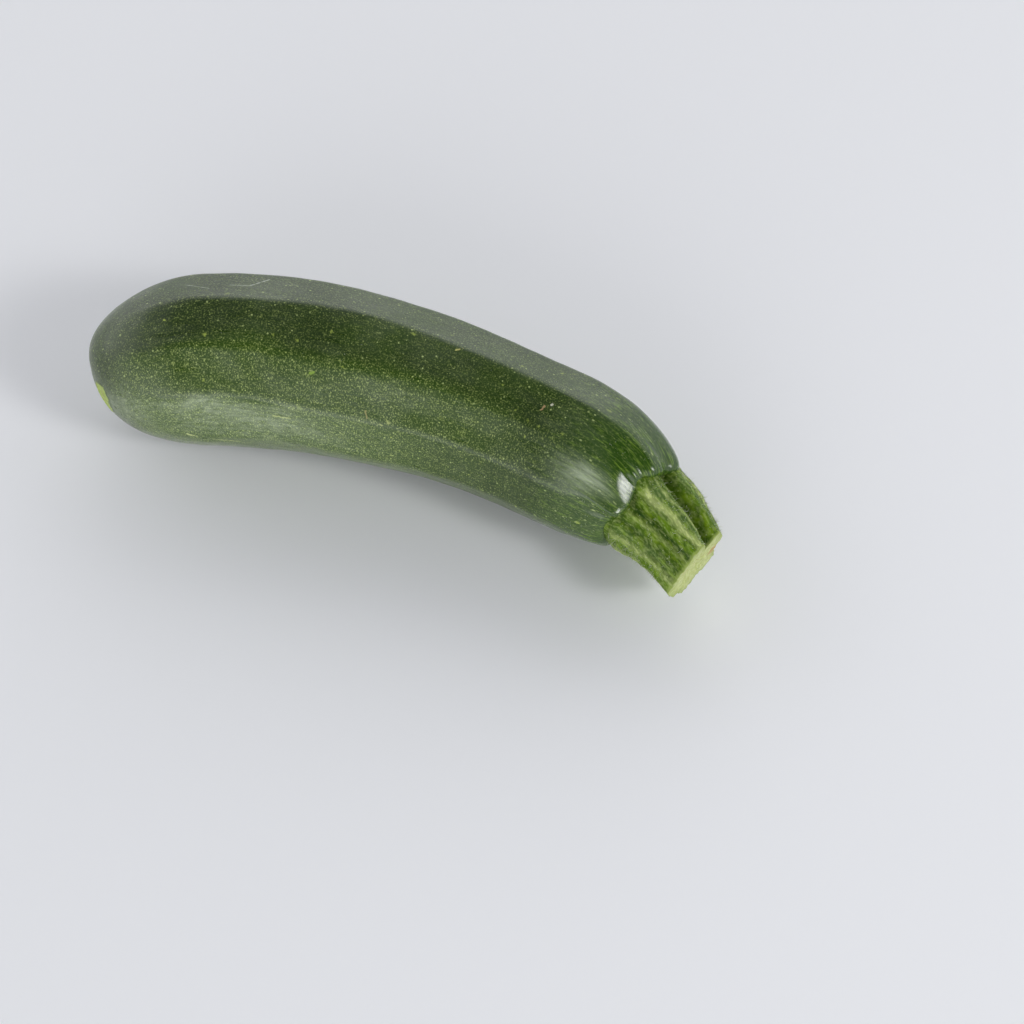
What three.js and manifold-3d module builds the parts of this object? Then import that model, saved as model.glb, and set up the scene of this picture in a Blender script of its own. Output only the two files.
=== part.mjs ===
// A courgette, the young fruit of a summer squash, with the cut stub of its stem.
//
// The fruit lies on its belly on the plane z = 0. Its centre line is level and bent: the blossom end
// is towards -X, the stem towards +X, and the bend bulges towards +Y. The origin is the middle of the
// bounding box's bottom.
//
// Round the section, 0 degrees is level on the left of the way to the stem (the +Y side) and 90
// degrees is straight up.

import * as THREE from 'three';
import { mergeVertices } from 'three/addons/utils/BufferGeometryUtils.js';
import Module from 'manifold-3d';

// ---------------------------------------------------------------------------------------------
// Driving dimensions, in millimetres and degrees
// ---------------------------------------------------------------------------------------------

// Fruit: control points of its centre line in plan, and of its radius along that line. The radius is
// measured to the middle of the soft facets; the edges between them stand a little further out.
const FRUIT_LINE = [[-119, -14.5], [-99, 4.5], [-61, 18.5], [-26.5, 14.5], [10, 18.5], [36, 5]];
const FRUIT_RADII = [21.9, 25.0, 24.9, 18.3, 22.0];

// Both ends are rounded like superellipses: the length of the rounding, and its power.
const BLOSSOM_END = { length: 31.7, power: 2.15, scarRadius: 5 };
const SHOULDER = { length: 29.3, power: 2.54, seatRadius: 12.8 };

// Ten soft facets run along the fruit; the higher the sharpness, the crisper their edges.
const FACETS = { count: 10, firstAngle: 23, sharpness: 30 };

// The belly is pressed flat by this much where it lies on the table, and the neck droops a little.
const BELLY_FLAT = 0.5;
const NECK_DROOP = { length: 20, drop: 1.4 };

// Creases that run from the seat of the stem over the shoulder: angle, depth and half width.
const CREASES = [
  [20, 0.6, 8], [63, 1.1, 8], [87, 0.8, 7], [105, 0.6, 7], [128, 0.7, 8], [158, 0.9, 8],
  [205, 1.0, 9], [242, 0.6, 8], [280, 1.0, 9], [316, 0.6, 8], [352, 1.0, 9],
];
const CREASE_REACH = 13;

// Stem: control points of its centre line after its foot, its radius to the ribs at both ends, and
// the grooves between its five ribs: angle, depth and half width.
const STEM_GAP = 0.3;
const STEM_BEND = [45.8, 0.4, 19.2];
const STEM_TIP = [56.2, -8.3, 18.6];
const STEM_RADII = { foot: 13.7, tip: 11.4 };
const STEM_FOOT_ROUND = 2.2;
const GROOVES = [[63, 2.8, 13], [122, 2.0, 24], [205, 2.3, 20], [280, 2.5, 20], [352, 2.6, 20]];

// The stem is cut with a knife, a little askew: the heading and the tilt of the cut face.
const CUT = { heading: -19, tilt: -5 };
const CUT_SPARE = 7;

// Fineness of the faceted surfaces.
const AROUND = 60;
const FRUIT_STATIONS = 58;
const STEM_STATIONS = 14;

// ---------------------------------------------------------------------------------------------
// Lines and sections
// ---------------------------------------------------------------------------------------------

const radians = THREE.MathUtils.degToRad;

/** A Bezier curve of any degree with control points [x, y] or [x, y, z]. */
class BezierLine extends THREE.Curve {
  constructor(controls) {
    super();
    this.controls = controls.map(([x, y, z = 0]) => new THREE.Vector3(x, y, z));
    this.arcLengthDivisions = 400;
  }

  getPoint(t, target = new THREE.Vector3()) {
    let points = this.controls;
    while (points.length > 1) {
      const previous = points;
      points = previous.slice(1).map((point, i) => previous[i].clone().lerp(point, t));
    }
    return target.copy(points[0]);
  }
}

/** The same blend for a list of plain numbers. */
function blend(values, t) {
  let row = values;
  while (row.length > 1) {
    const previous = row;
    row = previous.slice(1).map((value, i) => previous[i] + (value - previous[i]) * t);
  }
  return row[0];
}

/** Rise of a superelliptic rounding from 0 at its tip to 1 where it meets the body. */
function rounding(distance, { length, power }) {
  const x = Math.min(Math.max(distance / length, 0), 1);
  return (1 - (1 - x) ** power) ** (1 / power);
}

/** Radius of the soft-edged polygon of facets at an angle, 1 in the middle of a facet. */
function facetedRadius(angle) {
  let sum = 0;
  for (let k = 0; k < FACETS.count; k++) {
    const facet = FACETS.firstAngle + (k * 360) / FACETS.count;
    sum += Math.max(Math.cos(radians(angle - facet)), 0) ** FACETS.sharpness;
  }
  return sum ** (-1 / FACETS.sharpness);
}

/** Depth of a set of grooves [angle, depth, half width] at an angle. */
function grooveDepth(grooves, angle) {
  let depth = 0;
  for (const [centre, full, width] of grooves) {
    const off = THREE.MathUtils.euclideanModulo(angle - centre + 180, 360) - 180;
    depth += full * Math.exp(-((off / width) ** 2));
  }
  return depth;
}

/** A ring of points square to a line at one station, its radius given as a function of angle. */
function ring(centre, tangent, radiusAt) {
  const left = new THREE.Vector3(-tangent.y, tangent.x, 0).normalize();
  const up = new THREE.Vector3().crossVectors(tangent, left).normalize();
  const points = [];
  for (let i = 0; i < AROUND; i++) {
    const angle = (i * 360) / AROUND;
    const radius = radiusAt(angle);
    const point = centre.clone();
    point.addScaledVector(left, radius * Math.cos(radians(angle)));
    point.addScaledVector(up, radius * Math.sin(radians(angle)));
    points.push(point);
  }
  return points;
}

// ---------------------------------------------------------------------------------------------
// Surfaces and cuts
// ---------------------------------------------------------------------------------------------

/** A closed surface over a row of rings, with a flat fan over the first ring and the last. */
function skin(rings) {
  const positions = [];
  const indices = [];
  for (const points of rings) {
    for (const point of points) positions.push(point.x, point.y, point.z);
  }
  for (let j = 0; j < rings.length - 1; j++) {
    for (let i = 0; i < AROUND; i++) {
      const a = j * AROUND + i;
      const b = j * AROUND + ((i + 1) % AROUND);
      indices.push(a, b, b + AROUND);
      indices.push(a, b + AROUND, a + AROUND);
    }
  }
  for (const [points, first, turn] of [[rings[0], 0, 1], [rings.at(-1), rings.length - 1, 0]]) {
    const middle = new THREE.Vector3();
    for (const point of points) middle.addScaledVector(point, 1 / AROUND);
    const centre = positions.length / 3;
    positions.push(middle.x, middle.y, middle.z);
    for (let i = 0; i < AROUND; i++) {
      const a = first * AROUND + i;
      const b = first * AROUND + ((i + 1) % AROUND);
      if (turn) indices.push(centre, b, a);
      else indices.push(centre, a, b);
    }
  }
  const geometry = new THREE.BufferGeometry();
  geometry.setAttribute('position', new THREE.Float32BufferAttribute(positions, 3));
  geometry.setIndex(indices);
  return geometry;
}

const wasm = await Module();
wasm.setup();

/** What is left of a closed surface on the side of a plane that its normal points to. */
function trimmed(geometry, normal, offset) {
  const merged = mergeVertices(geometry, 1e-4);
  const solid = new wasm.Manifold(new wasm.Mesh({
    numProp: 3,
    vertProperties: new Float32Array(merged.attributes.position.array),
    triVerts: new Uint32Array(merged.index.array),
  }));
  const mesh = solid.trimByPlane(normal, offset).getMesh();
  const result = new THREE.BufferGeometry();
  result.setAttribute('position', new THREE.BufferAttribute(mesh.vertProperties, 3));
  result.setIndex(new THREE.BufferAttribute(mesh.triVerts, 1));
  return result;
}

// ---------------------------------------------------------------------------------------------
// Fruit
// ---------------------------------------------------------------------------------------------

const fruitLine = new BezierLine(FRUIT_LINE);
const fruitLength = fruitLine.getLength();
const bellyRatio = facetedRadius(270);

/** Height of the centre line over the table: the belly is straight and level, and the neck droops. */
function axisHeight(u) {
  const droop = Math.max(1 - ((1 - u) * fruitLength) / NECK_DROOP.length, 0) ** 2;
  return blend(FRUIT_RADII, u) * bellyRatio - BELLY_FLAT - NECK_DROOP.drop * droop;
}

/** Centre of the fruit at a fraction u of its length, 0 at the blossom end and 1 at the seat. */
function fruitCentre(u) {
  const centre = fruitLine.getPointAt(u);
  centre.z = axisHeight(u);
  return centre;
}

/** Direction of the fruit's centre line, towards the stem. */
function fruitTangent(u) {
  const step = 0.001;
  const tangent = fruitLine.getTangentAt(u);
  const rise = axisHeight(Math.min(u + step, 1)) - axisHeight(Math.max(u - step, 0));
  const run = (Math.min(u + step, 1) - Math.max(u - step, 0)) * fruitLength;
  tangent.z = rise / run;
  return tangent.normalize();
}

/** One ring of the fruit. */
function fruitRing(u) {
  const fromBlossom = u * fruitLength;
  const fromSeat = fruitLength - fromBlossom;
  const full = blend(FRUIT_RADII, u);
  const necked = SHOULDER.seatRadius + (full - SHOULDER.seatRadius) * rounding(fromSeat, SHOULDER);
  const radius = BLOSSOM_END.scarRadius
    + (necked - BLOSSOM_END.scarRadius) * rounding(fromBlossom, BLOSSOM_END);
  const crispness = THREE.MathUtils.smoothstep(fromBlossom, 0, BLOSSOM_END.length)
    * THREE.MathUtils.smoothstep(fromSeat, 0, SHOULDER.length);
  const creasing = Math.exp(-((fromSeat / CREASE_REACH) ** 2));
  return ring(fruitCentre(u), fruitTangent(u), (angle) => (
    radius * (1 + crispness * (facetedRadius(angle) - 1)) - creasing * grooveDepth(CREASES, angle)
  ));
}

const fruitRings = [];
for (let j = 0; j <= FRUIT_STATIONS; j++) {
  // Stations crowd together towards both rounded ends.
  fruitRings.push(fruitRing((1 - Math.cos((Math.PI * j) / FRUIT_STATIONS)) / 2));
}

const fruit = new THREE.Mesh(
  trimmed(skin(fruitRings), [0, 0, 1], 0),
  new THREE.MeshStandardMaterial({ color: '#45602a', roughness: 0.32, metalness: 0 }),
);
fruit.name = 'fruit';

// ---------------------------------------------------------------------------------------------
// Stem
// ---------------------------------------------------------------------------------------------

const outward = fruitTangent(1);
const stemFoot = fruitCentre(1).addScaledVector(outward, STEM_GAP);
const stemLine = new BezierLine([stemFoot.toArray(), STEM_BEND, STEM_TIP]);
const stemLength = stemLine.getLength();

/** One ring of the stem at a distance from its foot; past the tip the line goes on straight. */
function stemRing(distance) {
  const u = Math.min(distance / stemLength, 1);
  const tangent = u === 0 ? outward : stemLine.getTangentAt(u);
  const centre = stemLine.getPointAt(u).addScaledVector(tangent, distance - u * stemLength);
  const crest = THREE.MathUtils.lerp(STEM_RADII.foot, STEM_RADII.tip, distance / stemLength);
  const inset = STEM_FOOT_ROUND * (1 - rounding(distance, { length: STEM_FOOT_ROUND, power: 2 }));
  return ring(centre, tangent, (angle) => crest - inset - grooveDepth(GROOVES, angle));
}

const stemRings = [0, 0.3, 0.9].map((share) => stemRing(share * STEM_FOOT_ROUND));
for (let j = 1; j <= STEM_STATIONS; j++) {
  const straight = stemLength + CUT_SPARE - STEM_FOOT_ROUND;
  stemRings.push(stemRing(STEM_FOOT_ROUND + (straight * j) / STEM_STATIONS));
}

// The normal of the cut points back into the stem, to the side that is kept.
const cutNormal = new THREE.Vector3(-1, 0, 0)
  .applyAxisAngle(new THREE.Vector3(0, 1, 0), radians(-CUT.tilt))
  .applyAxisAngle(new THREE.Vector3(0, 0, 1), radians(CUT.heading));

const stem = new THREE.Mesh(
  trimmed(skin(stemRings), cutNormal.toArray(), cutNormal.dot(stemLine.getPointAt(1))),
  new THREE.MeshStandardMaterial({ color: '#7d9444', roughness: 0.62, metalness: 0 }),
);
stem.name = 'stem';

// ---------------------------------------------------------------------------------------------
// The courgette, with the middle of its bounding box's bottom at the origin
// ---------------------------------------------------------------------------------------------

const courgette = new THREE.Group();
courgette.add(fruit, stem);

const box = new THREE.Box3().setFromObject(courgette, true);
const middle = box.getCenter(new THREE.Vector3());
courgette.position.set(-middle.x, -middle.y, -box.min.z);

export default courgette;
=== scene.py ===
"""A courgette with the cut stub of its stem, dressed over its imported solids.

The shape functions work in millimetres and the meshes are written in metres. Round a section, angle
0 is level on the left of the way to the stem (the +Y side) and a quarter turn is straight up.
"""

import math

import bpy
import numpy as np
from mathutils import Matrix, Vector


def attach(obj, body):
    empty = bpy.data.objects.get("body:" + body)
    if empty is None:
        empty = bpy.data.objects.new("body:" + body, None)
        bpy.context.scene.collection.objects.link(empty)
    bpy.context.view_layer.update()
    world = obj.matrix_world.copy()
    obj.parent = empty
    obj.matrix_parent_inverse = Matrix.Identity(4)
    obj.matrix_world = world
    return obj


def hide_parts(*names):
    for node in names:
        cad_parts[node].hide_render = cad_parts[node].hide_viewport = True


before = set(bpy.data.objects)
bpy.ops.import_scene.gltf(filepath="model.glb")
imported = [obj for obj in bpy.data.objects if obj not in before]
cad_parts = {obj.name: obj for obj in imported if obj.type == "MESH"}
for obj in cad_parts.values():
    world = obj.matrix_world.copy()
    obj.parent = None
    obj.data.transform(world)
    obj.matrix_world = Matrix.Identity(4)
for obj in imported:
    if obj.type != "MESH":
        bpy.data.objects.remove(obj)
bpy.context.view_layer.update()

# ---------- Dimensions, the same as those of the solids

FRUIT_LINE = [[-119, -14.5], [-99, 4.5], [-61, 18.5], [-26.5, 14.5], [10, 18.5], [36, 5]]
FRUIT_RADII = [21.9, 25.0, 24.9, 18.3, 22.0]
BLOSSOM_LENGTH, BLOSSOM_POWER, SCAR_RADIUS = 31.7, 2.15, 5.0
SHOULDER_LENGTH, SHOULDER_POWER, SEAT_RADIUS = 29.3, 2.54, 12.8
FACETS, FIRST_FACET, FACET_SHARPNESS = 10, 23, 30
BELLY_FLAT = 0.5
DROOP_LENGTH, DROOP = 20, 1.4
CREASES = [
    [20, 0.6, 8], [63, 1.1, 8], [87, 0.8, 7], [105, 0.6, 7], [128, 0.7, 8], [158, 0.9, 8],
    [205, 1.0, 9], [242, 0.6, 8], [280, 1.0, 9], [316, 0.6, 8], [352, 1.0, 9],
]
CREASE_REACH = 13

STEM_GAP = 0.3
STEM_BEND = [45.8, 0.4, 19.2]
STEM_TIP = [56.2, -8.3, 18.6]
STEM_FOOT, STEM_END = 13.7, 11.4
CUT_HEADING, CUT_TILT = -19, -5

# Puts the middle of the bounding box's bottom at the origin.
TO_ORIGIN = np.array([32.535, -7.016, 0.0])

# ---------- Lines, roundings and grooves


def bezier(controls, t):
    """Sum over k of (n choose k) t^k (1 - t)^(n - k) times control k."""
    controls = np.asarray(controls, float)
    n = len(controls) - 1
    t = np.asarray(t, float)
    shares = [math.comb(n, k) * t**k * (1 - t) ** (n - k) for k in range(n + 1)]
    return np.stack(shares, -1) @ controls


class Line:
    """A Bezier line read by the distance travelled along it."""

    def __init__(self, controls):
        self.controls = np.asarray(controls, float)
        self.t = np.linspace(0, 1, 2001)
        steps = np.linalg.norm(np.diff(bezier(self.controls, self.t), axis=0), axis=1)
        self.travel = np.concatenate([[0], np.cumsum(steps)])
        self.length = self.travel[-1]

    def point(self, distance):
        """Point at a distance; past the end the line goes straight on."""
        t = np.interp(distance, self.travel, self.t)
        beyond = distance - np.clip(distance, 0, self.length)
        return bezier(self.controls, t) + beyond[..., None] * self.tangent(distance)

    def tangent(self, distance):
        """Unit derivative: n times the Bezier of the controls' differences."""
        t = np.interp(distance, self.travel, self.t)
        way = bezier(np.diff(self.controls, axis=0), t)
        return way / np.linalg.norm(way, axis=-1, keepdims=True)


def smooth(x):
    """3 x^2 - 2 x^3 of x held between 0 and 1."""
    x = np.clip(x, 0, 1)
    return x * x * (3 - 2 * x)


def rounding(distance, length, power):
    """Superellipse: (1 - (1 - distance/length)^power)^(1/power), 0 at the tip and 1 on the body."""
    x = np.clip(distance / length, 0, 1)
    return (1 - (1 - x) ** power) ** (1 / power)


def faceted(angle, sharpness):
    """Soft polygon: (sum over facets of max(cos(angle - facet), 0)^p)^(-1/p)."""
    middles = np.radians(FIRST_FACET + 360 / FACETS * np.arange(FACETS))
    cosines = np.maximum(np.cos(np.asarray(angle)[..., None] - middles), 0)
    sharpness = np.asarray(sharpness, float)
    return np.sum(cosines ** sharpness[..., None], axis=-1) ** (-1 / sharpness)


def turn_from(middle, angle):
    """Degrees from a middle in degrees to an angle in radians, between -180 and 180."""
    return (np.degrees(angle) - middle + 180) % 360 - 180


def furrows(table, angle):
    """Sum of depth times exp(-(turn from the middle / half width)^2) over rows of a table."""
    total = 0
    for middle, depth, width in table:
        total = total + depth * np.exp(-((turn_from(middle, angle) / width) ** 2))
    return total


def patches(table, distance, angle):
    """Sum over a table's rows of height exp(-(way / half length)^2 - (turn / half width)^2)."""
    total = 0
    for place, middle, height, length, width in table:
        way, turn = (distance - place) / length, turn_from(middle, angle) / width
        total = total + height * np.exp(-(way**2) - turn**2)
    return total


def ripple(distance, angle, seed, waves, lengths, turns):
    """Sum of sines of 2 pi distance / wavelength + whole turns angle + phase, about -1 to 1."""
    dice = np.random.default_rng(seed)
    total = 0
    for _ in range(waves):
        along = 2 * np.pi * distance / dice.uniform(*lengths)
        around = dice.integers(turns[0], turns[1] + 1) * dice.choice([-1, 1]) * angle
        total = total + np.sin(along + around + dice.uniform(0, 2 * np.pi))
    return total / math.sqrt(waves)


def lumps(x, y, seed, lengths):
    """Bumps where a sum of eight sines along x crosses another along y."""
    across = ripple(x, 0 * x, seed, 8, lengths, (0, 0))
    return across * ripple(y, 0 * y, seed + 1, 8, lengths, (0, 0))


def rings(centre, tangent, angle, radius):
    """Points centre + radius (cos angle * left + sin angle * up), square to the line."""
    left = np.stack([-tangent[..., 1], tangent[..., 0], 0 * tangent[..., 0]], -1)
    left /= np.linalg.norm(left, axis=-1, keepdims=True)
    up = np.cross(tangent, left)
    across = np.cos(angle)[..., None] * left + np.sin(angle)[..., None] * up
    return centre + radius[..., None] * across


# ---------- Fruit: rounded, softly faceted and creased at its shoulder

fruit_line = Line(FRUIT_LINE)
FRUIT_LENGTH = fruit_line.length

# The facets' ridges are crisper than the solids' few faces can show: most at the blossom end, less
# at the stem, and least on the under side, which sets in between two turns and fades out over the
# last degrees of the round.
CRISP_END, CRISP_NECK, CRISP_UNDER = 82, 58, 26
UNDER_FROM, UNDER_TO, UNDER_FADE = 168, 190, 20
# The facets wander by so many degrees, and the skin has long swells and small dents, in mm.
WANDER, SWELLS, DENTS = 1.6, 0.16, 0.035
# The ends are left even over these lengths.
EVEN_BLOSSOM, EVEN_SEAT = 12, 6
# The solids' creases are shown at this share of their depth, as finer furrows join them.
CREASE_SHARE = 0.5
# The blossom end swells a little in its middle: the rise, its half width, and where it is gone.
DOME_RISE, DOME_REACH, DOME_LENGTH = 1.2, 6.0, 10
# Short furrows that run to the feet of the stem's ribs, and one raised pleat: angle, depth and
# half width.
FURROWS = [
    [12, 2.0, 42], [58, 2.4, 10], [92, 0.8, 5.5], [141, -2.0, 5.2], [150, 1.5, 6], [230, 0.3, 26],
    [243, 0.6, 7], [316, 1.2, 7],
]
FURROW_REACH = 8
# The shoulder is rounder than the solids', and flatter at one side: angle, drop in power and half
# width.
ROUNDER_POWER = 2.1
FLATTER = [[124, 0.3, 26]]
# Lobes between the furrows lean on the stem: angle, reach and half width.
LOBES = [
    [42, 4.2, 36], [60, 2.0, 9], [82, 1.0, 8], [129, 3.9, 19], [153, 1.0, 8], [205, 2.4, 30],
    [280, 1.8, 20],
]
LOBE_LENGTH = 7
# One lobe is pressed to a nearly flat cheek: the plane's normal, its height, the share of the bulge
# that is kept, the softness of the edge, and the turn at which it starts and over how many degrees.
CHEEK_NORMAL = np.array([0.531, -0.317, 0.786])
CHEEK_HEIGHT, CHEEK_KEPT, CHEEK_SOFT, CHEEK_FROM, CHEEK_OVER = 44.3, 0.09, 0.25, 99, 8
# The skin is tucked in round the stem's foot: the lobes rise from one radius to the other.
TUCK_RADIUS, LOBE_RADIUS, TUCK_DEPTH = 8.5, 16.5, 1.2
# Half the step over which the slope of the fruit's line is taken.
SLOPE_STEP = 0.15


def axis_height(distance):
    """Body radius times the belly's share less the flat, less the droop (1 - way / length)^2."""
    body = bezier(FRUIT_RADII, np.clip(distance / FRUIT_LENGTH, 0, 1))
    droop = np.clip(1 - (FRUIT_LENGTH - distance) / DROOP_LENGTH, 0, None) ** 2
    return body * faceted(np.array(1.5 * np.pi), FACET_SHARPNESS) - BELLY_FLAT - DROOP * droop


def fruit_axis(distance):
    """Centre and unit tangent of the fruit's line, with its height and its slope."""
    centre = fruit_line.point(distance)
    centre = np.concatenate([centre, axis_height(distance)[..., None]], -1)
    way = fruit_line.tangent(distance)
    low = np.clip(distance - SLOPE_STEP, 0, None)
    high = np.clip(distance + SLOPE_STEP, None, FRUIT_LENGTH)
    slope = (axis_height(high) - axis_height(low)) / (high - low)
    way = np.concatenate([way, slope[..., None]], -1)
    return centre, way / np.linalg.norm(way, axis=-1, keepdims=True)


def ridge_sharpness(distance, angle):
    """From the end's to the neck's by a smooth step, then to that of the under side by another."""
    sharpness = CRISP_END + (CRISP_NECK - CRISP_END) * smooth(distance / FRUIT_LENGTH)
    turn = np.degrees(angle) % 360
    under = smooth((turn - UNDER_FROM) / (UNDER_TO - UNDER_FROM))
    return sharpness + (CRISP_UNDER - sharpness) * under * smooth((360 - turn) / UNDER_FADE)


def fruit_radius(distance, angle):
    """Rounded body radius times the soft polygon, less the creases, plus slow unevenness."""
    body = bezier(FRUIT_RADII, distance / FRUIT_LENGTH)
    to_seat = FRUIT_LENGTH - distance
    shoulder = rounding(to_seat, SHOULDER_LENGTH, ROUNDER_POWER - furrows(FLATTER, angle))
    necked = SEAT_RADIUS + (body - SEAT_RADIUS) * shoulder
    blossom = rounding(distance, BLOSSOM_LENGTH, BLOSSOM_POWER)
    radius = SCAR_RADIUS + (necked - SCAR_RADIUS) * blossom
    crisp = smooth(distance / BLOSSOM_LENGTH) * smooth(to_seat / SHOULDER_LENGTH)
    wander = math.radians(WANDER) * ripple(distance, angle, 3, 6, (50, 140), (1, 4))
    creasing = np.exp(-((to_seat / CREASE_REACH) ** 2)) * furrows(CREASES, angle)
    gathers = np.exp(-((to_seat / FURROW_REACH) ** 2)) * furrows(FURROWS, angle)
    body_share = smooth(distance / EVEN_BLOSSOM) * smooth(to_seat / EVEN_SEAT)
    uneven = SWELLS * ripple(distance, angle, 11, 9, (35, 120), (1, 5))
    uneven = uneven + DENTS * ripple(distance, angle, 12, 14, (7, 22), (4, 15))
    facets = faceted(angle + wander, ridge_sharpness(distance, angle)) - 1
    return radius * (1 + crisp * facets) - CREASE_SHARE * creasing - gathers + body_share * uneven


def lengthwise_shift(distance, angle, radius):
    """Lobes, exp(-(way to the seat / length)^2) of their reach, less the blossom end's dome."""
    to_seat = FRUIT_LENGTH - distance
    rolled = smooth((radius - TUCK_RADIUS) / (LOBE_RADIUS - TUCK_RADIUS))
    lobes = rolled * np.exp(-((to_seat / LOBE_LENGTH) ** 2)) * furrows(LOBES, angle)
    dome = np.exp(-((radius / DOME_REACH) ** 2)) * smooth(1 - distance / DOME_LENGTH)
    return lobes - DOME_RISE * dome


def cheek(points, angle):
    """Less (1 - kept) times the excess over the plane, soft * log(1 + exp(height / soft))."""
    height = points @ CHEEK_NORMAL - CHEEK_HEIGHT
    excess = CHEEK_SOFT * np.logaddexp(0, height / CHEEK_SOFT)
    excess = excess * smooth((np.degrees(angle) % 360 - CHEEK_FROM) / CHEEK_OVER)
    return points - (1 - CHEEK_KEPT) * excess[..., None] * CHEEK_NORMAL


# The blossom scar lies round a line between two points of the end and faces away from a point of
# the fruit's line. Its rim runs at a distance from it.
SCAR_LINE = np.array([[-115.1, -19.0, 24.2], [-114.7, -20.0, 20.7]])
SCAR_REACH, SCAR_BACK = 3.7, 22.0
# The rim and the floor lie further in, the floor has a soft edge, and a nub stands in the middle.
RIM_HEIGHT, RIM_WIDTH, RIM_INSET = 0.22, 0.5, 0.4
FLOOR_DEPTH, FLOOR_EDGE, FLOOR_INSET = 0.40, 1.2, 0.7
NUB_HEIGHT, NUB_WIDTH, SCAR_BUMPS = 0.45, 0.9, 0.09
scar_way = SCAR_LINE.mean(axis=0) - fruit_axis(np.array(SCAR_BACK))[0]
scar_way /= np.linalg.norm(scar_way)


def scar_relief(points):
    """A rim, a sunken floor, a nub and bumps, by the distance from the scar's line."""
    start, end = SCAR_LINE
    way = end - start
    reach = np.clip((points - start) @ way / (way @ way), 0, 1)
    off = np.linalg.norm(points - start - reach[..., None] * way, axis=-1)
    rise = RIM_HEIGHT * np.exp(-(((off - SCAR_REACH + RIM_INSET) / RIM_WIDTH) ** 2))
    rise -= FLOOR_DEPTH * smooth((SCAR_REACH - FLOOR_INSET - off) / FLOOR_EDGE)
    rise += NUB_HEIGHT * np.exp(-((off / NUB_WIDTH) ** 2))
    bumps = lumps(points[..., 1], points[..., 2], 21, (0.9, 3))
    rise += SCAR_BUMPS * bumps * smooth(SCAR_REACH - off)
    return points + rise[..., None] * scar_way


def fruit_ring(distance, angle, radius, sunk=0):
    """Rings of a radius round the fruit's line, shifted along it by lobes and dome."""
    centre, tangent = fruit_axis(distance)
    shift = lengthwise_shift(distance, angle, radius) - sunk
    return rings(centre, tangent, angle, radius) + shift[..., None] * tangent


def fruit_skin(distance, angle):
    """Rings of the fruit's own radius, pressed flat where they pass below the table."""
    points = cheek(fruit_ring(distance, angle, fruit_radius(distance, angle)), angle)
    points = scar_relief(points) + TO_ORIGIN
    points[..., 2] = np.maximum(points[..., 2], 0)
    return points


def tucked_skin(share, angle):
    """The seat's ring drawn in from its edge (share 0) to the tuck's radius under the stem."""
    at_seat = np.full_like(share, FRUIT_LENGTH)
    edge = fruit_radius(at_seat, angle)
    radius = edge + share * (TUCK_RADIUS - edge)
    return cheek(fruit_ring(at_seat, angle, radius, TUCK_DEPTH * share**2), angle) + TO_ORIGIN


def scar_disc(share, angle):
    """The blossom end's first ring shrunk to its middle by a share."""
    at_end = np.zeros_like(share)
    radius = share * fruit_radius(at_end, angle)
    return scar_relief(fruit_ring(at_end, angle, radius)) + TO_ORIGIN


# Length over which the skin's colour turns to that of the shoulder.
NECK_LENGTH = 36
# The lower side is paler from one turn to another, most past a low turn: partly the side that lay
# on the ground, partly painted light where the lower facets face the front. It fades towards the
# stem from a distance on, sooner past the low turn, and by a share; that fade is painted shade
# under the neck.
PALE_FROM, PALE_TO, PALE_LOW, LOW_SHARE = 103, 232, 140, 0.25
PALE_RISE, PALE_FALL, LOW_RISE, PALE_START = 14, 40, 16, 14
FADE_FROM, FADE_SOONER, FADE_LENGTH, FADE_SHARE = 100, 22, 50, 0.85
# Patches of painted sheen and highlight, laid as scuffed whitish bloom: place, turn, strength,
# half length and half width in degrees.
SHEEN_AND_BLOOM = [
    [88, 126, 0.40, 11, 8], [151, 128, 2.1, 6, 10], [60, 137, 0.15, 13, 9], [30, 150, 0.30, 18, 7],
    [108, 126, 0.26, 14, 9], [144, 129, 0.55, 6, 9], [5, 160, 0.6, 8, 40],
]
# The longest, a painted reflection, lies on a low facet, between two turns over which it comes
# and goes.
LONG_PLACE, LONG_LENGTH, LONG_STRENGTH = 46, 40, 0.75
LONG_FROM, LONG_RISE, LONG_TO, LONG_FALL = 147, 6, 196, 24
# Across it a brighter band of painted reflection slants, so many degrees a mm.
BAND_TURN, BAND_WIDTH, BAND_SLANT, BAND_LENGTH, BAND_STRENGTH = 162, 7, 0.5, 28, 0.6
# The turns of the paler side and of the long patch wander by so many degrees.
PALE_WANDER, LONG_WANDER = 2.5, 2.0


def lit_and_pale_side(distance, angle):
    """A step up at one turn and down at the other, partly painted light; less towards the stem
    and sooner low down, as painted shade.
    """
    turn = np.degrees(angle) % 360 + PALE_WANDER * ripple(distance, angle, 5, 6, (20, 70), (0, 0))
    low = smooth((turn - PALE_LOW) / LOW_RISE)
    step = smooth((turn - PALE_FROM) / PALE_RISE) * smooth((PALE_TO - turn) / PALE_FALL)
    step = step * (1 - LOW_SHARE + LOW_SHARE * low) * smooth(distance / PALE_START)
    faded = smooth((distance - FADE_FROM + FADE_SOONER * low) / FADE_LENGTH)
    return step * (1 - FADE_SHARE * faded)


def sheen_and_bloom_patches(distance, angle):
    """Painted sheen and reflection: the long patch with its band between their turns, and the
    short patches.
    """
    turn = np.degrees(angle) % 360 + LONG_WANDER * ripple(distance, angle, 6, 6, (12, 50), (0, 0))
    way = distance - LONG_PLACE
    total = LONG_STRENGTH * np.exp(-((way / LONG_LENGTH) ** 2))
    band = (turn - BAND_TURN - BAND_SLANT * way) / BAND_WIDTH
    total += BAND_STRENGTH * np.exp(-((way / BAND_LENGTH) ** 2) - band**2)
    total *= smooth((turn - LONG_FROM) / LONG_RISE) * smooth((LONG_TO - turn) / LONG_FALL)
    return total + patches(SHEEN_AND_BLOOM, distance, angle)


# How much longer a mark on the skin gets towards the stem, and over what length.
DRAWN_OUT, DRAWN_LENGTH = 1.1, 34


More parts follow.
